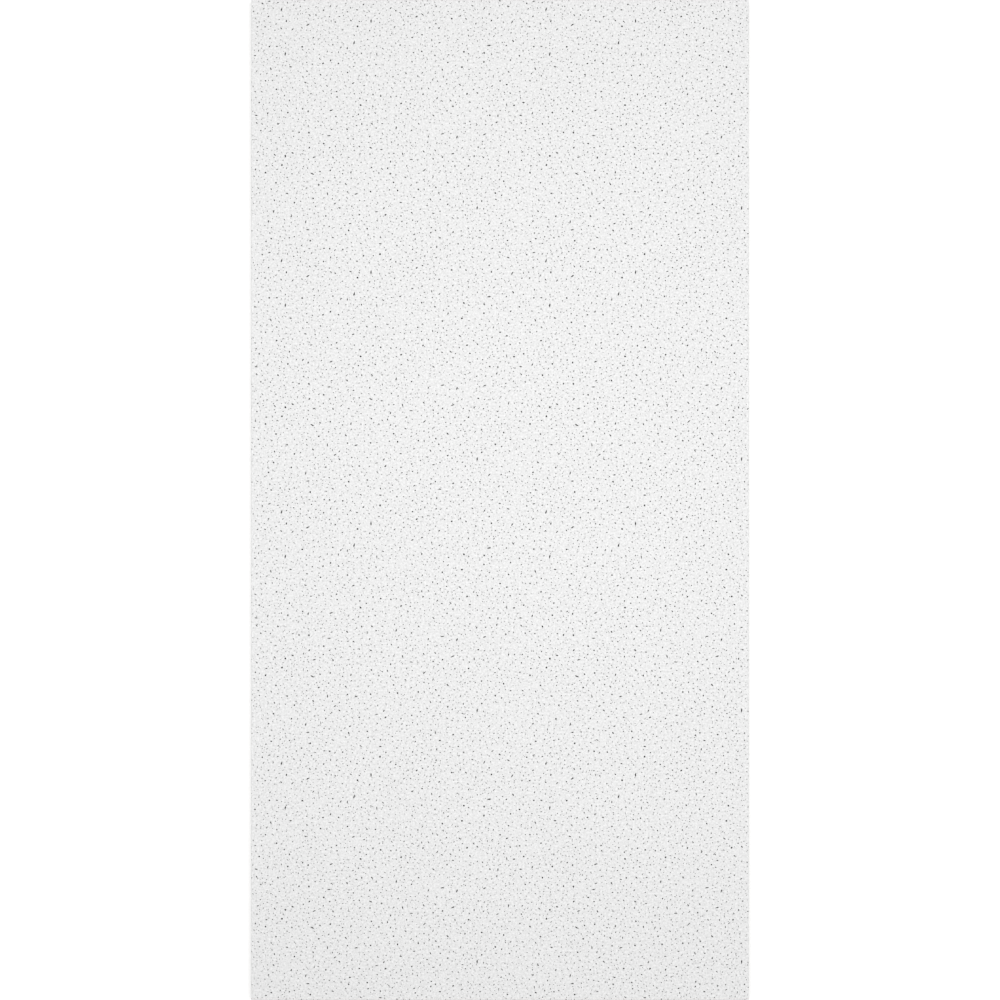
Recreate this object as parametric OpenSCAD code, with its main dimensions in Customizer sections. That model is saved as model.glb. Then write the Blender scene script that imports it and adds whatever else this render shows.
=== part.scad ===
// Suspended ceiling tile: one square-edged board of felted mineral fibre, lying face up.
// The origin is the centre of the back face, X runs across the board and Y along it.
// A roller with needles and short blades punches the painted face, so the layout of pits
// repeats along and across the board, and the saw that cuts the board ends it anywhere.

/* [Board] */
// Width of the board, a little under its grid module
board_w = 603.25; // [280:0.25:620]
// Length of the board
board_l = 1212.85; // [580:0.05:1240]
// Thickness of the board
board_t = 15.875; // [12:0.125:25]
// Eased arris around the face
arris = 0.8; // [0.2:0.1:2]
// Strip of face along the arris with no pits in it
rim = 2; // [0.5:0.1:10]

/* [Punching roller] */
// Width of board after which the layout repeats
repeat_w = 320.8; // [200:0.1:400]
// Length of board after which the layout repeats
repeat_l = 304.8; // [200:0.1:400]
// Spacing of the pits that the layout aims at
pit_pitch = 26; // [20:0.5:60]
// Least face left between neighbouring pits
web = 2; // [0.5:0.1:5]
// Share by which a pit differs from its stated size, at most
size_spread = 0.25; // [0:0.01:0.5]
// Number that picks the random layout
layout_seed = 21; // [1:1:999]

/* [Needle pits] */
// Width of a needle pit at the face
needle_w = 2.1; // [1:0.1:4]
// Depth of a needle pit
needle_depth = 4.5; // [1:0.1:8]

/* [Fissures] */
// Share of the pits that are fissures
fissure_share = 0.3; // [0:0.01:1]
// Length of a fissure at the face
fissure_l = 4.4; // [2:0.1:8]
// Width of a fissure at the face
fissure_w = 1.5; // [0.8:0.1:4]
// Depth of a fissure
fissure_depth = 3; // [1:0.1:8]
// Direction that fissures lean to, from X towards Y
fissure_lean = 35; // [0:1:180]
// Angle by which a fissure may turn away from that lean
fissure_turn = 75; // [0:1:90]

/* [Hidden] */

// How far cutting shapes run past the surface that they cut
overrun = 1;
// How far along its length the widest point of a pit may lie from the middle
widest_shift = 0.45;

// Each repeat of the layout is a grid of cells with one pit in each
cells_w = max(1, round(repeat_w / pit_pitch));
cells_l = max(1, round(repeat_l / pit_pitch));
cell = [repeat_w / cells_w, repeat_l / cells_l];
repeats_w = ceil(board_w / repeat_w);
repeats_l = ceil(board_l / repeat_l);

// Random numbers from -1 to 1, a row of them for each cell
draws = 8;
chance = rands(-1, 1, cells_w * cells_l * draws, layout_seed);
function draw(index, n) = chance[index * draws + n];
function varied(size, by) = size * (1 + size_spread * by);

// The fields of a pit
AT = 0;
HALF_L = 1;
HALF_W = 2;
DEPTH = 3;
TURN = 4;
WIDEST = 5;

// The pit of one cell, placed anywhere in the cell that leaves the web to its neighbours
function pit_of(index) =
    let (
        fissure = draw(index, 0) < 2 * fissure_share - 1,
        half_l = varied(fissure ? fissure_l : needle_w, draw(index, 1)) / 2,
        half_w = varied(fissure ? fissure_w : needle_w, draw(index, 2)) / 2,
        depth = varied(fissure ? fissure_depth : needle_depth, draw(index, 1)),
        turn = fissure ? fissure_lean + fissure_turn * draw(index, 3) : 180 * draw(index, 3),
        reach = max(half_l, half_w) + web / 2,
        play = [max(0, cell.x / 2 - reach), max(0, cell.y / 2 - reach)],
        column = index % cells_w,
        row = floor(index / cells_w),
        at = [
            (column + 0.5) * cell.x + play.x * draw(index, 4),
            (row + 0.5) * cell.y + play.y * draw(index, 5)
        ]
    )
    [at, half_l, half_w, depth, turn, widest_shift * [draw(index, 6), draw(index, 7)]];

layout = [for (index = [0 : cells_w * cells_l - 1]) pit_of(index)];

// Does a pit at this place lie whole on the face, inside the rim?
function on_face(at, pit) =
    let (reach = max(pit[HALF_L], pit[HALF_W]) + arris + rim)
    abs(at.x) <= board_w / 2 - reach && abs(at.y) <= board_l / 2 - reach;

// Section of the board across one of its sides, with both arrises eased
module board_section(width) {
    polygon([
        [-width / 2, 0],
        [width / 2, 0],
        [width / 2, board_t - arris],
        [width / 2 - arris, board_t],
        [-width / 2 + arris, board_t],
        [-width / 2, board_t - arris]
    ]);
}

// The sawn board before punching: its two sections crossed
module board() {
    intersection() {
        rotate([90, 0, 0])
            linear_extrude(board_l + 2 * overrun, center = true) board_section(board_w);
        rotate([90, 0, 90])
            linear_extrude(board_w + 2 * overrun, center = true) board_section(board_l);
    }
}

// What one needle or blade removes: a ragged four-sided mouth that tapers to a point
module pit_cut(pit) {
    widen = (pit[DEPTH] + overrun) / pit[DEPTH];
    half_l = pit[HALF_L] * widen;
    half_w = pit[HALF_W] * widen;
    mouth = [
        [half_l, 0, overrun],
        [half_l * pit[WIDEST][0], half_w, overrun],
        [-half_l, 0, overrun],
        [half_l * pit[WIDEST][1], -half_w, overrun]
    ];
    point = [0, 0, -pit[DEPTH]];
    rotate(pit[TURN])
        polyhedron(
            points = concat(mouth, [point]),
            faces = [[3, 2, 1, 0], [0, 1, 4], [1, 2, 4], [2, 3, 4], [3, 0, 4]]
        );
}

// Every pit that the roller leaves on the face
module punched_pits() {
    for (across = [0 : repeats_w - 1], along = [0 : repeats_l - 1], pit = layout) {
        at = pit[AT] + [across * repeat_w - board_w / 2, along * repeat_l - board_l / 2];
        if (on_face(at, pit))
            translate([at.x, at.y, board_t]) pit_cut(pit);
    }
}

module tile() {
    color("whitesmoke")
        difference() {
            board();
            punched_pits();
        }
}

tile();
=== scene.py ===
"""Dresses a suspended ceiling tile: one board of felted mineral fibre, punched, painted and sawn.

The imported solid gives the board's box and its larger pits. The board is made again here with
those pits in a finer form and with the pinholes that the same roller leaves between them, and
each of its surfaces gets a finish. All sizes are in metres.
"""

import logging
import math
import random
from dataclasses import dataclass, field
from enum import Enum, IntEnum

import bmesh
import bpy
from mathutils import Matrix, Vector


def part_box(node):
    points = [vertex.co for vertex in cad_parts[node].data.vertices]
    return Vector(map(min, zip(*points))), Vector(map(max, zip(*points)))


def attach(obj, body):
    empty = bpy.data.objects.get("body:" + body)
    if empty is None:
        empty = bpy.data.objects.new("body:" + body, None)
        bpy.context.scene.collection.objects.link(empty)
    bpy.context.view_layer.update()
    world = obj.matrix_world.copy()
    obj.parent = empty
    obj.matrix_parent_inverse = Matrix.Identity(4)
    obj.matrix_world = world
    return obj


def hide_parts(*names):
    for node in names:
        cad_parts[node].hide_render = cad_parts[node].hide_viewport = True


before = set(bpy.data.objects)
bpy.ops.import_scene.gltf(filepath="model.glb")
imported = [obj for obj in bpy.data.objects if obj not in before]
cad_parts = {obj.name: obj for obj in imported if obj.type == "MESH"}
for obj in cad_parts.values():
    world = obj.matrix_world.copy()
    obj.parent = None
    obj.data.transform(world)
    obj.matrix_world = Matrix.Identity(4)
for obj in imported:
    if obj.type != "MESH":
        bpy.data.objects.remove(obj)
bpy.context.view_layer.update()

LOG = logging.getLogger("ceiling_tile")
NODE = "tile"
BODY = "root"
BAKE_MAP = "OFBake"
MM = 0.001

Colour = tuple[float, float, float]
# A place on the face and how far what is there reaches
Spot = tuple[Vector, float]


class Surface(IntEnum):
    """The board's surfaces, numbered as its material slots."""

    FACE = 0
    PIT = 1
    EDGE = 2
    BACK = 3


class Sum(Enum):
    """The sums that a Math node does here."""

    ADD = "ADD"
    SUBTRACT = "SUBTRACT"
    MULTIPLY = "MULTIPLY"
    SINE = "SINE"


class Spread(Enum):
    """How scattered points fill a surface: all over the face, or right through the fibre."""

    OVER_FACE = "2D"
    THROUGH = "3D"


class MixSocket(IntEnum):
    """The sockets of a Mix node that take and give a colour, by their places."""

    FIRST = 6
    SECOND = 7
    RESULT = 2


class Value:
    """A number that changes over a surface: a socket that takes part in arithmetic."""

    def __init__(self, graph: "Graph", socket: bpy.types.NodeSocket) -> None:
        """Keeps a socket and the graph that it belongs to."""
        self.graph = graph
        self.socket = socket

    def __add__(self, other: "Value | float") -> "Value":
        """This number plus another."""
        return self.graph.work_out(Sum.ADD, self, other)

    def __radd__(self, other: float) -> "Value":
        """Another number plus this one."""
        return self.graph.work_out(Sum.ADD, other, self)

    def __sub__(self, other: "Value | float") -> "Value":
        """This number less another."""
        return self.graph.work_out(Sum.SUBTRACT, self, other)

    def __rsub__(self, other: float) -> "Value":
        """Another number less this one."""
        return self.graph.work_out(Sum.SUBTRACT, other, self)

    def __mul__(self, other: "Value | float") -> "Value":
        """This number times another."""
        return self.graph.work_out(Sum.MULTIPLY, self, other)

    def __rmul__(self, other: float) -> "Value":
        """Another number times this one."""
        return self.graph.work_out(Sum.MULTIPLY, other, self)

    def ripple(self, pitch: float) -> "Value":
        """A wave from -1 to 1 that repeats each time this number has grown by the pitch."""
        return self.graph.work_out(Sum.SINE, self * (math.tau / pitch), 0.0)

    def step(self, low: "Value | float", high: "Value | float") -> "Value":
        """A smooth step over this number.

        Args:
            low: Where the step is at 0.
            high: Where it is at 1, which may lie under low.

        Returns:
            The height of the step, from 0 to 1.
        """
        sockets = {"Value": self, "From Min": low, "From Max": high}
        node = self.graph.add("ShaderNodeMapRange", {"interpolation_type": "SMOOTHSTEP"}, sockets)
        return Value(self.graph, node.outputs["Result"])


class Graph:
    """The nodes of one material or world."""

    noise_middle = 0.5

    def __init__(self, tree: bpy.types.NodeTree) -> None:
        """Takes over a tree and empties it."""
        self.tree = tree
        tree.nodes.clear()

    def add(
        self,
        kind: str,
        settings: dict[str, object] | None = None,
        sockets: dict[str | int, object] | None = None,
    ) -> bpy.types.Node:
        """Adds one node.

        Args:
            kind: The node's type.
            settings: The node's own settings, which are set first.
            sockets: A number, a colour or a link for each input socket, by its name or its place.

        Returns:
            The node.
        """
        node = self.tree.nodes.new(kind)
        for name, setting in (settings or {}).items():
            setattr(node, name, setting)
        for name, given in (sockets or {}).items():
            link = given.socket if isinstance(given, Value) else given
            if isinstance(link, bpy.types.NodeSocket):
                self.tree.links.new(link, node.inputs[name])
            else:
                node.inputs[name].default_value = link
        return node

    def work_out(self, operation: Sum, first: Value | float, second: Value | float) -> Value:
        """One sum of two numbers.

        Args:
            operation: The sum.
            first: Its first number.
            second: Its second number.

        Returns:
            The result.
        """
        node = self.add("ShaderNodeMath", {"operation": operation.value}, {0: first, 1: second})
        return Value(self, node.outputs[0])

    def places(self) -> bpy.types.NodeSocket:
        """Each point's place on the board."""
        return self.add("ShaderNodeTexCoord").outputs["Object"]

    def along(self, axis: str) -> Value:
        """Each point's place along X, Y or Z."""
        parts = self.add("ShaderNodeSeparateXYZ", sockets={"Vector": self.places()})
        return Value(self, parts.outputs[axis])

    def noise(self, size: tuple[float, float, float], detail: float) -> Value:
        """A cloudy pattern.

        Args:
            size: The size of its clouds along X, Y and Z.
            detail: How many finer layers it has.

        Returns:
            A number that stays around 0, from about -0.5 to 0.5.
        """
        sizes = {0: self.places(), 1: size}
        scaled = self.add("ShaderNodeVectorMath", {"operation": "DIVIDE"}, sizes)
        sockets = {"Vector": scaled.outputs[0], "Scale": 1.0, "Detail": detail}
        noise = self.add("ShaderNodeTexNoise", sockets=sockets)
        return Value(self, noise.outputs[0]) - self.noise_middle

    def ragged_places(self, grain: float, shift: float) -> bpy.types.NodeSocket:
        """Each point's place on the board, shifted at random so that shapes come out ragged.

        Args:
            grain: The size of the stretches that shift together.
            shift: How far a point shifts, at most.

        Returns:
            The shifted places.
        """
        sockets = {"Vector": self.places(), "Scale": 1 / grain, "Detail": 1.0}
        noise = self.add("ShaderNodeTexNoise", sockets=sockets).outputs["Color"]
        centred = {0: noise, 1: (self.noise_middle,) * 3}
        drift = self.add("ShaderNodeVectorMath", {"operation": "SUBTRACT"}, centred).outputs[0]
        moved = {0: drift, 1: (2 * shift,) * 3, 2: self.places()}
        return self.add("ShaderNodeVectorMath", {"operation": "MULTIPLY_ADD"}, moved).outputs[0]

    def scatter(
        self, spread: Spread, spacing: float, grain: float, shift: float
    ) -> tuple[Value, Value]:
        """Scattered points, whose surroundings are ragged.

        Args:
            spread: Where they lie.
            spacing: How far apart they are.
            grain: The size of what is ragged about them.
            shift: How far from its true place a spot of their surroundings may lie.

        Returns:
            The distance to the nearest point, and a number from 0 to 1 of that point's own.
        """
        settings = {"voronoi_dimensions": spread.value}
        sockets = {"Vector": self.ragged_places(grain, shift), "Scale": 1 / spacing}
        cells = self.add("ShaderNodeTexVoronoi", settings, sockets)
        own = self.add("ShaderNodeSeparateColor", sockets={"Color": cells.outputs["Color"]})
        return Value(self, cells.outputs["Distance"]) * spacing, Value(self, own.outputs[0])

    def blend(
        self,
        share: Value,
        low: Colour | bpy.types.NodeSocket,
        high: Colour | bpy.types.NodeSocket,
    ) -> bpy.types.NodeSocket:
        """A colour between two.

        Args:
            share: How much of the second colour there is, from 0 to 1.
            low: The first colour.
            high: The second colour.

        Returns:
            The mixed colour.
        """
        first, second = ((*end, 1.0) if isinstance(end, tuple) else end for end in (low, high))
        sockets = {"Factor": share, MixSocket.FIRST: first, MixSocket.SECOND: second}
        mix = self.add("ShaderNodeMix", {"data_type": "RGBA"}, sockets)
        return mix.outputs[MixSocket.RESULT]

    def coat(
        self,
        colour: bpy.types.NodeSocket | Value,
        roughness: Value,
        height: Value,
        shine: float,
    ) -> None:
        """Ends the graph with a shader.

        Args:
            colour: The surface's colour.
            roughness: Its roughness.
            height: How far it stands proud.
            shine: Its specular level.
        """
        bump = self.add("ShaderNodeBump", sockets={"Height": height, "Distance": 1.0})
        sockets = {
            "Base Color": colour,
            "Roughness": roughness,
            "Specular IOR Level": shine,
            "Normal": bump.outputs[0],
        }
        shader = self.add("ShaderNodeBsdfPrincipled", sockets=sockets)
        self.add("ShaderNodeOutputMaterial", sockets={"Surface": shader.outputs[0]})


@dataclass(frozen=True)
class Pattern:
    """A cloudy pattern of a finish, and how far it goes into that finish's tone and relief."""

    size: tuple[float, float, float]
    detail: float
    tone: float
    relief: float = 0.0

    def on(self, graph: Graph) -> Value:
        """The pattern as a number from about -0.5 to 0.5."""
        return graph.noise(self.size, self.detail)


@dataclass(frozen=True)
class Dots:
    """Ragged dots at a share of the scattered places where one may be.

    A small dot reaches as far as least and a large one as far as most. How ragged the dots are,
    and how soft their rims, goes by the reach of a small one.
    """

    spread: Spread
    spacing: float
    share: float
    least: float
    most: float
    ragged_grain: float = 2.0
    ragged_shift: float = 2.3
    soft_rim: float = 0.6
    cut_off: float = 0.01

    def on(self, graph: Graph) -> Value:
        """Draws the dots.

        Args:
            graph: The graph of the finish that has them.

        Returns:
            A number that is 1 inside a dot and falls to 0 at its rim.
        """
        grain = self.ragged_grain * self.least
        shift = self.ragged_shift * self.least
        distance, own = graph.scatter(self.spread, self.spacing, grain, shift)
        reach = self.least + own * (self.most - self.least)
        without = 1 - self.share
        chosen = own.step(without, without + self.cut_off)
        return (reach - distance).step(0.0, self.soft_rim * self.least) * chosen


@dataclass(frozen=True)
class Finish:
    """What every finish of the board has."""

    name: str
    rough: float = 0.95
    rough_spread: float = 0.1
    shine: float = 0.2

    def dress(self, graph: Graph) -> None:
        """Fills the graph of the finish's material."""
        raise NotImplementedError

    def roughness(self, grain: Value) -> Value:
        """The roughness, which changes a little with the grain."""
        return self.rough + grain * self.rough_spread

    def material(self) -> bpy.types.Material:
        """Makes a material with this finish.

        Returns:
            The material.
        """
        material = bpy.data.materials.new(self.name)
        material.use_nodes = True
        self.dress(Graph(material.node_tree))
        return material


@dataclass(frozen=True)
class MattPaint(Finish):
    """Matt white paint, stippled, with pricks that are too fine to be cut and are painted dark as
    shade.
    """

    name: str = "matt_face_paint"
    rough: float = 0.9
    rough_spread: float = 0.15
    shine: float = 0.25
    white: float = 0.882
    stipple: Pattern = Pattern((2.3 * MM,) * 3, detail=3.0, tone=0.65, relief=1.0)
    grain: Pattern = Pattern((0.5 * MM,) * 3, detail=3.0, tone=0.2, relief=0.4)
    cloud: Pattern = Pattern((140 * MM,) * 3, detail=2.0, tone=0.02)
    relief: float = 0.4 * MM
    pricks: Dots = Dots(Spread.OVER_FACE, 7 * MM, share=0.8, least=0.35 * MM, most=0.56 * MM)
    prick_depth: float = 0.4 * MM
    # How dark the pricks are painted: painted shade for holes too fine to be cut
    prick_painted_shade_tone: float = 0.1

    def dress(self, graph: Graph) -> None:
        """Fills the graph of the finish's material.

        Args:
            graph: The graph.
        """
        stipple = self.stipple.on(graph)
        grain = self.grain.on(graph)
        cloud = self.cloud.on(graph)
        prick = self.pricks.on(graph)
        # The stipple and the grain make the paint paler where they raise it and darker in their
        # hollows: painted light and shade on that relief, besides the paint's uneven tone.
        mottle_and_painted_relief_shading = stipple * self.stipple.tone + grain * self.grain.tone + cloud * self.cloud.tone
        white = self.white * (1 + mottle_and_painted_relief_shading)
        # Painted shade: each prick is darkened as the inside of a small hole would be by its shadow.
        tone = white + prick * (self.prick_painted_shade_tone - white)
        bumps = stipple * self.stipple.relief + grain * self.grain.relief
        height = bumps * self.relief - prick * self.prick_depth
        graph.coat(tone, self.roughness(grain), height, self.shine)


@dataclass(frozen=True)
class PunchedFibre(Finish):
    """Raw fibre inside the pits, under a lip of paint, with painted shade that darkens it the deeper
    it lies.
    """

    name: str = "punched_fibre_painted_shade"
    face: float = 0.015875
    paint_tone: float = 0.82
    tone: float = 0.42
    # How dark the painted shade is at the bottom of a pit
    deep_painted_shade_tone: float = 0.16
    lip: float = 0.22 * MM
    paint_thins: float = 0.11 * MM
    paint_ends: float = 0.286 * MM
    deep: float = 2.5 * MM
    fibre: Pattern = Pattern((0.35 * MM,) * 3, detail=3.0, tone=0.9, relief=1.0)
    relief: float = 0.15 * MM

    def dress(self, graph: Graph) -> None:
        """Fills the graph of the finish's material.

        Args:
            graph: The graph.
        """
        depth = self.face - graph.along("Z")
        fibre = self.fibre.on(graph)
        paint = (depth + fibre * self.lip).step(self.paint_ends, self.paint_thins)
        # Painted shade: the fibre is darkened the deeper it lies in a pit, standing in for the shade
        # that falls there.
        shade = depth.step(self.lip, self.deep)
        plain = self.tone + shade * (self.deep_painted_shade_tone - self.tone)
        raw_fibre_in_painted_shade = plain * (1 + fibre * self.fibre.tone)
        tone = raw_fibre_in_painted_shade + paint * (self.paint_tone - raw_fibre_in_painted_shade)
        height = fibre * (self.fibre.relief * self.relief)
        graph.coat(tone, self.roughness(fibre), height, self.shine)


@dataclass(frozen=True)
class RawFibre(Finish):
    """Bare felted fibre, with beads of perlite and bits of slag in it."""

    dark: Colour = (0.36, 0.345, 0.315)
    light: Colour = (0.66, 0.645, 0.61)
    bead: Colour = (0.70, 0.69, 0.665)
    beads: Dots = Dots(Spread.THROUGH, 2.6 * MM, share=0.6, least=0.2 * MM, most=0.5 * MM)
    bit: Colour = (0.20, 0.185, 0.165)
    bits: Dots = Dots(Spread.THROUGH, 4 * MM, share=0.5, least=0.15 * MM, most=0.4 * MM)

    def speckled(self, graph: Graph, felt: Value) -> bpy.types.NodeSocket:
        """The colour of the fibre with its beads and bits.

        Args:
            graph: The graph of the finish's material.
            felt: How light the felt is, where 0 is dark and 1 is light.

        Returns:
            The colour.
        """
        colour = graph.blend(felt.step(0.0, 1.0), self.dark, self.light)
        beaded = graph.blend(self.beads.on(graph), colour, self.bead)
        return graph.blend(self.bits.on(graph), beaded, self.bit)


@dataclass(frozen=True)
class SawnFibre(RawFibre):
    """The sawn sides: felted layers cut across, with overspray along the top."""

    name: str = "sawn_fibre_edge"
    face: float = 0.015875
    felt: float = 0.45
    layers: Pattern = Pattern((14 * MM, 14 * MM, 0.9 * MM), detail=3.0, tone=1.0, relief=0.5)
    grain: Pattern = Pattern((0.6 * MM,) * 3, detail=3.0, tone=0.9, relief=0.8)
    nodule_spacing: float = 1.5 * MM
    nodule_grain: float = 0.8 * MM
    nodule_shift: float = 0.5 * MM
    nodule_reach: float = 0.9 * MM
    nodule_mean: float = 0.4
    nodule_tone: float = 0.5
    nodule_relief: float = 0.3
    saw_pitch: float = 1.3 * MM
    saw_slant: float = 0.3
    saw_wander: float = 1.5 * MM
    saw_tone: float = 0.05
    saw_relief: float = 0.06
    relief: float = 0.4 * MM
    paint: Colour = (0.84, 0.84, 0.84)
    paint_ends: float = 1.6 * MM
    paint_thins: float = 0.64 * MM
    paint_drift: float = 2 * MM
    paint_fray: float = 1.5 * MM

    def dress(self, graph: Graph) -> None:
        """Fills the graph of the finish's material.

        Args:
            graph: The graph.
        """
        layers = self.layers.on(graph)
        grain = self.grain.on(graph)
        distance, own = graph.scatter(
            Spread.THROUGH, self.nodule_spacing, self.nodule_grain, self.nodule_shift
        )
        nodule = distance.step(self.nodule_reach, 0.0)
        up = graph.along("Z")
        slant = graph.along("X") + graph.along("Y") + up * self.saw_slant
        saw = (slant + layers * self.saw_wander).ripple(self.saw_pitch)
        felt = (
            self.felt
            + layers * self.layers.tone
            + grain * self.grain.tone
            + nodule * (own - self.nodule_mean) * self.nodule_tone
            + saw * self.saw_tone
        )
        bumps = (
            layers * self.layers.relief
            + grain * self.grain.relief
            + nodule * self.nodule_relief
            + saw * self.saw_relief
        )
        ragged_up = up + (layers * self.paint_drift + grain * self.paint_fray)
        cover = ragged_up.step(self.face - self.paint_ends, self.face - self.paint_thins)
        colour = graph.blend(cover, self.speckled(graph, felt), self.paint)
        graph.coat(colour, self.roughness(grain), bumps * self.relief, self.shine)


@dataclass(frozen=True)
class FeltedBack(RawFibre):
    """The bare back, felted on a wire screen and sanded along its length."""

    name: str = "felted_back"
    felt: float = 0.5
    tufts: Pattern = Pattern((5 * MM,) * 3, detail=4.0, tone=0.9, relief=1.0)
    grain: Pattern = Pattern((0.7 * MM,) * 3, detail=2.0, tone=0.8, relief=0.6)
    streaks: Pattern = Pattern((1.5 * MM, 60 * MM, 1.0), detail=2.0, tone=0.55, relief=0.4)
    cloud: Pattern = Pattern((90 * MM,) * 3, detail=2.0, tone=0.4)
    wire_pitch: float = 2.4 * MM
    wire_wander: float = 1.2 * MM
    wire_tone: float = 0.08
    wire_relief: float = 0.12
    relief: float = 0.35 * MM

    def dress(self, graph: Graph) -> None:
        """Fills the graph of the finish's material.

        Args:
            graph: The graph.
        """
        tufts = self.tufts.on(graph)
        grain = self.grain.on(graph)
        streaks = self.streaks.on(graph)
        cloud = self.cloud.on(graph)
        wander = tufts * self.wire_wander
        across = (graph.along("X") + wander).ripple(self.wire_pitch)
        along = (graph.along("Y") + wander).ripple(self.wire_pitch)
        wires = across * along
        felt = (
            self.felt
            + tufts * self.tufts.tone
            + grain * self.grain.tone
            + streaks * self.streaks.tone
            + cloud * self.cloud.tone
            + wires * self.wire_tone
        )
        bumps = (
            tufts * self.tufts.relief
            + grain * self.grain.relief
            + streaks * self.streaks.relief
            + wires * self.wire_relief
        )
        colour = self.speckled(graph, felt)
        graph.coat(colour, self.roughness(grain), bumps * self.relief, self.shine)


@dataclass(frozen=True)
class Pinhole:
    """One small pit of the roller's layout."""

    at: Vector
    half_width: float
    half_length: float
    depth: float
    turn: float
    sides: int
    form: int

    def place(self, origin: Vector, overrun: float) -> Matrix:
        """Where this pit's cutting shape goes.

        Args:
            origin: The corner that the layout starts from, at the height of the face.
            overrun: How far the shape stands out of the face.

        Returns:
            The matrix that takes a form there from a width of 2 and a depth of 1.
        """
        widen = (self.depth + overrun) / self.depth
        size = Matrix.Diagonal((self.half_length, self.half_width, self.depth, 1 / widen)) * widen
        lift = Vector((self.at.x, self.at.y, overrun))
        return Matrix.Translation(origin + lift) @ Matrix.Rotation(self.turn, 4, "Z") @ size


@dataclass
class Crowd:
    """The places taken on one repeat of the layout, which runs on over its own sides."""

    repeat: tuple[float, float]
    cell: float = 6 * MM
    cells_around: int = 2
    spots: dict[tuple[int, int], list[Spot]] = field(default_factory=dict)

    @property
    def cells(self) -> tuple[int, ...]:
        """How many cells there are across and along one repeat."""
        return tuple(math.floor(side / self.cell) for side in self.repeat)

    def cell_of(self, at: Vector) -> tuple[int, ...]:
        """The column and the row of the cell that a place lies in."""
        sides = zip(at, self.repeat, self.cells)
        return tuple(int(way / side * count) % count for way, side, count in sides)

    def take(self, at: Vector, reach: float) -> None:
        """Marks a place as taken as far as the reach."""
        self.spots.setdefault(self.cell_of(at), []).append((at, reach))

    def gap(self, one: Vector, other: Vector) -> float:
        """The shorter way between two places, on the sheet or over its sides.

        Args:
            one: The first place.
            other: The second place.

        Returns:
            The length of that way.
        """
        ways = (
            min(abs(one[axis] - other[axis]), side - abs(one[axis] - other[axis]))
            for axis, side in enumerate(self.repeat)
        )
        return math.hypot(*ways)

    def is_clear(self, at: Vector, reach: float) -> bool:
        """Tells whether nothing taken lies within reach of a place.

        Args:
            at: The place.
            reach: How far around it there must be nothing.

        Returns:
            True if the place is free.
        """
        columns, rows = self.cells
        column, row = self.cell_of(at)
        around = range(-self.cells_around, self.cells_around + 1)
        near = (
            spot
            for across in around
            for along in around
            for spot in self.spots.get(((column + across) % columns, (row + along) % rows), ())
        )
        return all(self.gap(at, place) >= reach + taken for place, taken in near)


@dataclass
class Roller:
    """The roller that punches the face, and the pinholes it leaves between the larger pits."""

    repeat: tuple[float, float] = (320.8 * MM, 304.8 * MM)
    pinholes: int = 1770
    narrowest: float = 0.97 * MM
    widest: float = 2.3 * MM
    fall: float = 2.9
    longest: float = 2.9
    slenderness: float = 1.7
    depth_spread: float = 0.2
    clearance: float = 3.3
    forms: int = 6
    ragged: float = 0.2
    fewest_sides: int = 5
    six_sided: float = 1.3 * MM
    seven_sided: float = 1.78 * MM
    seed: int = 11
    chance: random.Random = field(init=False)

    def __post_init__(self) -> None:
        """Starts the roller's own row of random numbers."""
        self.chance = random.Random(self.seed)

    def width(self) -> float:
        """The width of one pinhole: the wider, the rarer."""
        rarest = (self.narrowest / self.widest) ** self.fall
        return self.narrowest * self.chance.uniform(rarest, 1.0) ** (-1 / self.fall)

    def sides(self, width: float) -> int:
        """How many sides a pinhole of this width has."""
        return self.fewest_sides + (width > self.six_sided) + (width > self.seven_sided)

    def anywhere(self) -> Vector:
        """A place on the first repeat."""
        return Vector([self.chance.uniform(0, side) for side in self.repeat])

    def layout(self, larger: list[Spot]) -> list[Pinhole]:
        """Scatters the pinholes of one repeat, clear of each other and of the larger pits.

        Args:
            larger: The place and reach of each larger pit of that repeat.

        Returns:
            The pinholes, from the widest to the narrowest.
        """
        crowd = Crowd(self.repeat)
        for place, reach in larger:
            crowd.take(place, self.clearance * reach)
        found = []
        for width in sorted((self.width() for _ in range(self.pinholes)), reverse=True):
            stretch = math.sqrt(self.chance.uniform(1.0, self.longest))
            reach = self.clearance * width / 2
            at = self.anywhere()
            while not crowd.is_clear(at, reach):
                at = self.anywhere()
            crowd.take(at, reach)
            deepen = self.chance.uniform(1 - self.depth_spread, 1 + self.depth_spread)
            pinhole = Pinhole(
                at=at,
                half_width=width / 2 / stretch,
                half_length=width / 2 * stretch,
                depth=width * self.slenderness * deepen,
                turn=self.chance.uniform(0, math.pi),
                sides=self.sides(width),
                form=self.chance.randrange(self.forms),
            )
            found.append(pinhole)
        return found

    def form_of(self, sides: int) -> bpy.types.Mesh:
        """Makes one ragged cone that stands for what a needle removes.

        Args:
            sides: How many sides it has.

        Returns:
            A cone as large as a round one of a width of 2 and a depth of 1, mouth up at zero height.
        """
        made = bmesh.new()
        bmesh.ops.create_cone(
            made,
            cap_ends=True,
            segments=sides,
            radius1=0.0,
            radius2=math.sqrt(math.tau / sides / math.sin(math.tau / sides)),
            depth=1.0,
            matrix=Matrix.Translation((0, 0, -0.5)),
        )
        for vert in made.verts:
            vert.co.xy *= 1 + self.ragged * self.chance.uniform(-1, 1)
        return as_mesh(made, "pinhole", Surface.PIT)


@dataclass(frozen=True)
class MapField:
    """A rectangle of the map that the colours are baked through."""

    left: float
    bottom: float
    width: float
    height: float

    def at(self, across: float, up: float) -> Vector:
        """The place on the map at these shares of the field's width and height."""
        return Vector((self.left + across * self.width, self.bottom + up * self.height))


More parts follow.
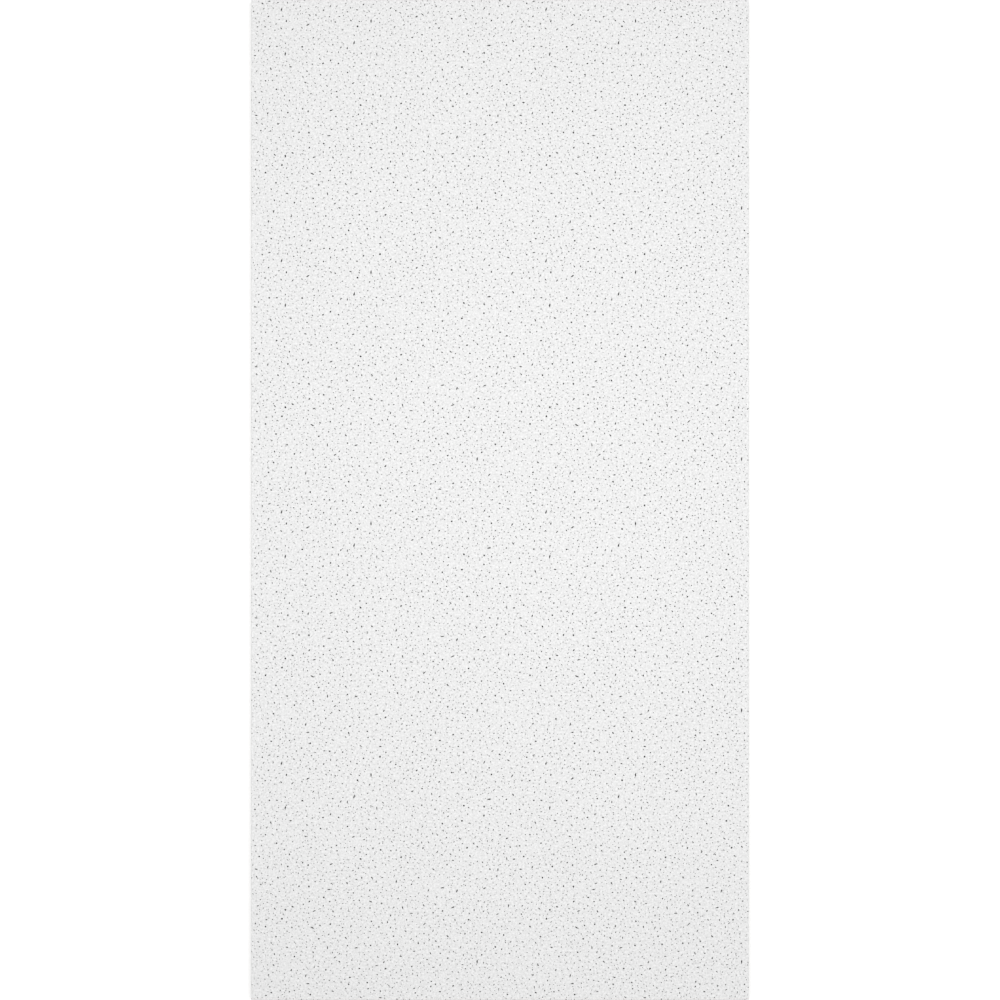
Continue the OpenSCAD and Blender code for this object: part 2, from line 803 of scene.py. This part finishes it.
@dataclass(frozen=True)
class BoardMap:
    """The board's own map: its face, its back, its four sides and one field for all pits."""

    low: Vector
    high: Vector
    face: MapField = MapField(0.004, 0.004, 0.694, 0.992)
    back: MapField = MapField(0.706, 0.004, 0.190, 0.900)
    pit: MapField = MapField(0.706, 0.912, 0.190, 0.084)
    sides: MapField = MapField(0.904, 0.004, 0.0175, 0.992)
    side_step: float = 0.0245
    pit_depth: float = 7 * MM
    pit_reach: float = 13 * MM
    pit_margin: float = 0.1

    def place(self, face: bmesh.types.BMFace, at: Vector) -> Vector:
        """The place on the map of one corner.

        Args:
            face: The face that the corner belongs to.
            at: The corner's place on the board.

        Returns:
            Its place on the map.
        """
        across, along, up = (
            (at[axis] - self.low[axis]) / (self.high[axis] - self.low[axis]) for axis in range(3)
        )
        if face.material_index == Surface.FACE:
            return self.face.at(across, along)
        if face.material_index == Surface.BACK:
            return self.back.at(across, along)
        normal = face.normal.xy.normalized()
        if face.material_index == Surface.PIT:
            # All pits share one field, on which their walls are laid out by the way that they face
            turn = math.atan2(normal.y, normal.x) / math.tau + 0.5
            aside = (at.xy - face.calc_center_median().xy).dot(Vector((-normal.y, normal.x)))
            wall = self.pit_margin + (1 - 2 * self.pit_margin) * turn + aside / self.pit_reach
            return self.pit.at(wall, 1 - (self.high.z - at.z) / self.pit_depth)
        lies_along_y = abs(normal.x) > abs(normal.y)
        strip = 2 * lies_along_y + (normal.x + normal.y > 0)
        spot = self.sides.at(up, along if lies_along_y else across)
        return spot + Vector((strip * self.side_step, 0))

    def lay(self, made: bmesh.types.BMesh) -> None:
        """Gives every corner of the board its place on the map.

        Args:
            made: The board.
        """
        layer = made.loops.layers.uv.new(BAKE_MAP)
        for face in made.faces:
            for loop in face.loops:
                loop[layer].uv = self.place(face, loop.vert.co)


@dataclass
class FeltedBoard:
    """The board: its box, its larger pits and its pinholes, as one closed mesh."""

    low: Vector
    high: Vector
    arris: float = 0.8 * MM
    arris_steps: int = 3
    panel: float = 50 * MM
    back_lean: float = -0.5
    paint_lean: float = 0.1
    weld: float = 0.01 * MM
    overrun: float = 0.4 * MM
    least_bulge: float = 1.0
    most_bulge: float = 1.3
    widen: float = 1.06
    seed: int = 3
    name: str = "felted_board"

    def blank(self) -> bpy.types.Mesh:
        """Makes the sawn board before punching, with its face eased all round.

        Returns:
            The blank, split into panels so that no face of it is very large.
        """
        size = self.high - self.low
        made = bmesh.new()
        place = Matrix.Translation((self.low + self.high) / 2) @ Matrix.Diagonal((*size, 1))
        bmesh.ops.create_cube(made, size=1.0, matrix=place)
        middle = (self.low.z + self.high.z) / 2
        rim = [edge for edge in made.edges if all(vert.co.z > middle for vert in edge.verts)]
        bmesh.ops.bevel(
            made,
            geom=rim,
            offset=self.arris,
            offset_type="OFFSET",
            affect="EDGES",
            segments=self.arris_steps,
            profile=0.5,
            material=-1,
        )
        for normal in (Vector((1, 0, 0)), Vector((0, 1, 0))):
            panels = round(size.dot(normal) / self.panel)
            for step in range(1, panels):
                everything = [*made.verts, *made.edges, *made.faces]
                cut = self.low + normal * (size.dot(normal) * step / panels)
                bmesh.ops.bisect_plane(made, geom=everything, plane_co=cut, plane_no=normal)
        for face in made.faces:
            face.material_index = self.surface_of(face)
        return as_mesh(made, "blank")

    def surface_of(self, face: bmesh.types.BMFace) -> Surface:
        """Tells a face's surface by how far it leans up or down.

        Args:
            face: A face of the blank.

        Returns:
            The surface that it belongs to.
        """
        if face.normal.z < self.back_lean:
            return Surface.BACK
        return Surface.FACE if face.normal.z > self.paint_lean else Surface.EDGE

    def tips(self, made: bmesh.types.BMesh) -> list[bmesh.types.BMVert]:
        """Finds the deepest point of each larger pit: what lies under the face and off the sides.

        Args:
            made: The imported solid, or what is left of it.

        Returns:
            The points.
        """
        inside = self.high.xy - Vector((2 * self.arris, 2 * self.arris))
        return [
            vert
            for vert in made.verts
            if self.low.z < vert.co.z < self.high.z - self.arris
            and abs(vert.co.x) < inside.x
            and abs(vert.co.y) < inside.y
        ]

    def larger_pits(self) -> tuple[bpy.types.Mesh, list[Spot]]:
        """Makes cutting shapes of the larger pits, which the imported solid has.

        Returns:
            One mesh with all the cutting shapes, and each pit's place and reach on the face.
        """
        made = bmesh.new()
        made.from_mesh(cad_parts[NODE].data)
        bmesh.ops.remove_doubles(made, verts=made.verts, dist=self.weld)
        walls = {face for tip in self.tips(made) for face in tip.link_faces}
        rest = [face for face in made.faces if face not in walls]
        bmesh.ops.delete(made, geom=rest, context="FACES")
        mouths = [edge for edge in made.edges if edge.is_boundary]
        split = bmesh.ops.subdivide_edges(made, edges=mouths, cuts=1, use_single_edge=True)
        middles = set(split["geom_inner"])
        chance = random.Random(self.seed)
        spots = []
        for tip in self.tips(made):
            corners = [edge.other_vert(tip) for edge in tip.link_edges]
            depth = self.high.z - tip.co.z
            deepen = (depth + self.overrun) / depth
            reaches = [(corner.co - tip.co).xy.length for corner in corners]
            spots.append((tip.co.xy, math.sqrt(max(reaches) * min(reaches))))
            for corner in corners:
                bulge = chance.uniform(self.least_bulge, self.most_bulge) if corner in middles else 1
                apart = (corner.co - tip.co) * deepen
                apart.xy *= bulge * self.widen
                corner.co = tip.co + apart
        bmesh.ops.holes_fill(made, edges=[edge for edge in made.edges if edge.is_boundary])
        bmesh.ops.recalc_face_normals(made, faces=made.faces)
        return as_mesh(made, "larger_pits", Surface.PIT), spots

    def in_first_repeat(self, spots: list[Spot], roller: Roller) -> list[Spot]:
        """Moves the larger pits into the first repeat of the layout and keeps one of each.

        Args:
            spots: The place and reach of each larger pit on the face.
            roller: The roller, whose layout starts from the board's corner.

        Returns:
            The place and reach of each different pit, from that corner.
        """
        kept = {}
        for place, reach in spots:
            at = place - self.low.xy
            at = Vector((at.x % roller.repeat[0], at.y % roller.repeat[1]))
            kept.setdefault((round(at.x / MM), round(at.y / MM)), (at, reach))
        return list(kept.values())

    def needles(self, roller: Roller) -> bpy.types.Mesh:
        """Makes one mesh of everything that the roller takes out of the face.

        Args:
            roller: The roller.

        Returns:
            The cutting shapes of all pits.
        """
        larger, spots = self.larger_pits()
        layout = roller.layout(self.in_first_repeat(spots, roller))
        counts = sorted({pinhole.sides for pinhole in layout})
        forms = {sides: [roller.form_of(sides) for _ in range(roller.forms)] for sides in counts}
        made = bmesh.new()
        made.from_mesh(larger)
        size = self.high - self.low
        cut = 0
        for across in range(math.ceil(size.x / roller.repeat[0])):
            for along in range(math.ceil(size.y / roller.repeat[1])):
                start = Vector((across * roller.repeat[0], along * roller.repeat[1], size.z))
                for pinhole in layout:
                    if any(start[axis] + pinhole.at[axis] > size[axis] for axis in (0, 1)):
                        continue
                    form = forms[pinhole.sides][pinhole.form].copy()
                    form.transform(pinhole.place(self.low + start, self.overrun))
                    made.from_mesh(form)
                    bpy.data.meshes.remove(form)
                    cut += 1
        LOG.info("%d larger pits and %d pinholes", len(spots), cut)
        return as_mesh(made, "needles")

    def punched(self, roller: Roller, finishes: dict[Surface, Finish]) -> bpy.types.Mesh:
        """Takes all pits out of the blank.

        Args:
            roller: The roller.
            finishes: The finish of each surface.

        Returns:
            The punched board.
        """
        blank = bpy.data.objects.new("blank", self.blank())
        tool = bpy.data.objects.new("needles", self.needles(roller))
        materials = [finishes[surface].material() for surface in Surface]
        for shape in (blank, tool):
            bpy.context.scene.collection.objects.link(shape)
            for material in materials:
                shape.data.materials.append(material)
        punch = blank.modifiers.new("punch", "BOOLEAN")
        punch.operation = "DIFFERENCE"
        punch.solver = "MANIFOLD"
        punch.object = tool
        shaped = blank.evaluated_get(bpy.context.evaluated_depsgraph_get())
        mesh = bpy.data.meshes.new_from_object(shaped)
        for shape in (blank, tool):
            bpy.data.objects.remove(shape)
        return mesh

    def build(self, roller: Roller, finishes: dict[Surface, Finish]) -> bpy.types.Object:
        """Builds and dresses the board.

        Args:
            roller: The roller that punches it.
            finishes: The finish of each surface.

        Returns:
            The board's object.
        """
        mesh = self.punched(roller, finishes)
        mesh.attributes.remove(mesh.attributes["custom_normal"])
        mesh.name = self.name
        made = bmesh.new()
        made.from_mesh(mesh)
        bmesh.ops.triangulate(made, faces=made.faces, quad_method="BEAUTY", ngon_method="BEAUTY")
        BoardMap(self.low, self.high).lay(made)
        made.to_mesh(mesh)
        made.free()
        board = bpy.data.objects.new(self.name, mesh)
        bpy.context.scene.collection.objects.link(board)
        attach(board, BODY)
        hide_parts(NODE)
        return board


@dataclass
class Studio:
    """The floor, the lamp, the light from all round and the camera."""

    face: float
    length: float
    lens: float = 100.0
    sensor: float = 36.0
    floor_side: float = 40.0
    floor_gap: float = 0.1 * MM
    floor_tone: float = 0.9
    floor_glow: float = 0.33
    fill: float = 0.55
    lamp_place: tuple[float, float, float] = (0.09, 0.12, 1.8)
    lamp_width: float = 1.65
    lamp_share: float = 0.47

    @property
    def backdrop(self) -> float:
        """The tone of the floor far from the lamp, and of the world, so that no horizon shows."""
        return self.floor_tone * self.fill + self.floor_glow

    def looked_at(self, graph: Graph) -> Value:
        """Tells the rays that look at a surface from those that light one.

        Args:
            graph: The graph of the floor's material or of the world.

        Returns:
            1 for a ray from the camera, a reflection or a clear surface, 0 for one that lights.
        """
        rays = graph.add("ShaderNodeLightPath").outputs
        camera, glossy, clear = (
            Value(graph, rays[f"Is {kind} Ray"]) for kind in ("Camera", "Glossy", "Transmission")
        )
        return camera + glossy + clear

    def floor_material(self) -> bpy.types.Material:
        """Makes a pale floor that looks white around the board, where no shadow falls.

        Returns:
            The floor's material.
        """
        material = bpy.data.materials.new("studio_floor")
        material.use_nodes = True
        graph = Graph(material.node_tree)
        sockets = {
            "Base Color": (*(self.floor_tone,) * 3, 1.0),
            "Roughness": 1.0,
            "Specular IOR Level": 0.0,
            "Emission Color": (1.0, 1.0, 1.0, 1.0),
            "Emission Strength": self.looked_at(graph) * self.floor_glow,
        }
        shader = graph.add("ShaderNodeBsdfPrincipled", sockets=sockets)
        graph.add("ShaderNodeOutputMaterial", sockets={"Surface": shader.outputs[0]})
        return material

    def build_floor(self) -> None:
        """Lays the floor under the board."""
        made = bmesh.new()
        under = Matrix.Translation((0, 0, -self.floor_gap))
        side = self.floor_side / 2
        bmesh.ops.create_grid(made, x_segments=1, y_segments=1, size=side, matrix=under)
        floor = bpy.data.objects.new("studio_floor", as_mesh(made, "studio_floor"))
        floor.data.materials.append(self.floor_material())
        bpy.context.scene.collection.objects.link(floor)

    def build_light(self) -> None:
        """Sets up an even light from all round, and one soft lamp overhead."""
        world = bpy.data.worlds.new("studio")
        world.use_nodes = True
        graph = Graph(world.node_tree)
        strength = self.fill + self.looked_at(graph) * (self.backdrop - self.fill)
        sockets = {"Color": (1.0, 1.0, 1.0, 1.0), "Strength": strength}
        shine = graph.add("ShaderNodeBackground", sockets=sockets)
        graph.add("ShaderNodeOutputWorld", sockets={"Surface": shine.outputs[0]})
        bpy.context.scene.world = world
        light = bpy.data.lights.new("overhead", "AREA")
        light.shape = "DISK"
        light.size = self.lamp_width
        # At this energy the lamp alone shows plain white at its share, straight under its middle
        height = self.lamp_place[2] - self.face
        light.energy = self.lamp_share * math.pi**2 * (height**2 + (self.lamp_width / 2) ** 2)
        lamp = bpy.data.objects.new("overhead", light)
        lamp.location = self.lamp_place
        bpy.context.scene.collection.objects.link(lamp)

    def build_camera(self) -> None:
        """Sets up a camera that looks straight down and takes in the board's whole length."""
        data = bpy.data.cameras.new("camera")
        data.lens = self.lens
        data.sensor_width = self.sensor
        camera = bpy.data.objects.new("camera", data)
        camera.location = (0.0, 0.0, self.face + self.length * self.lens / self.sensor)
        bpy.context.scene.collection.objects.link(camera)
        bpy.context.scene.camera = camera

    def build(self) -> None:
        """Builds the whole studio."""
        self.build_floor()
        self.build_light()
        self.build_camera()
        bpy.context.scene.view_settings.view_transform = "Standard"


def as_mesh(
    made: bmesh.types.BMesh, name: str, surface: Surface | None = None
) -> bpy.types.Mesh:
    """Turns a bmesh into a mesh with flat faces, and frees it.

    Args:
        made: The bmesh.
        name: The mesh's name.
        surface: The surface that all its faces belong to, if they are to be changed.

    Returns:
        The mesh.
    """
    for face in made.faces:
        face.smooth = False
        if surface is not None:
            face.material_index = surface
    mesh = bpy.data.meshes.new(name)
    made.to_mesh(mesh)
    made.free()
    return mesh


def main() -> None:
    """Builds the board and its studio."""
    logging.basicConfig(level=logging.INFO, format="%(name)s: %(message)s")
    low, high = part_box(NODE)
    finishes = {
        Surface.FACE: MattPaint(),
        Surface.PIT: PunchedFibre(face=high.z),
        Surface.EDGE: SawnFibre(face=high.z),
        Surface.BACK: FeltedBack(),
    }
    board = FeltedBoard(low, high).build(Roller(), finishes)
    LOG.info("%s: %d triangles", board.name, len(board.data.polygons))
    Studio(face=high.z, length=high.y - low.y).build()


if __name__ == "__main__":
    main()
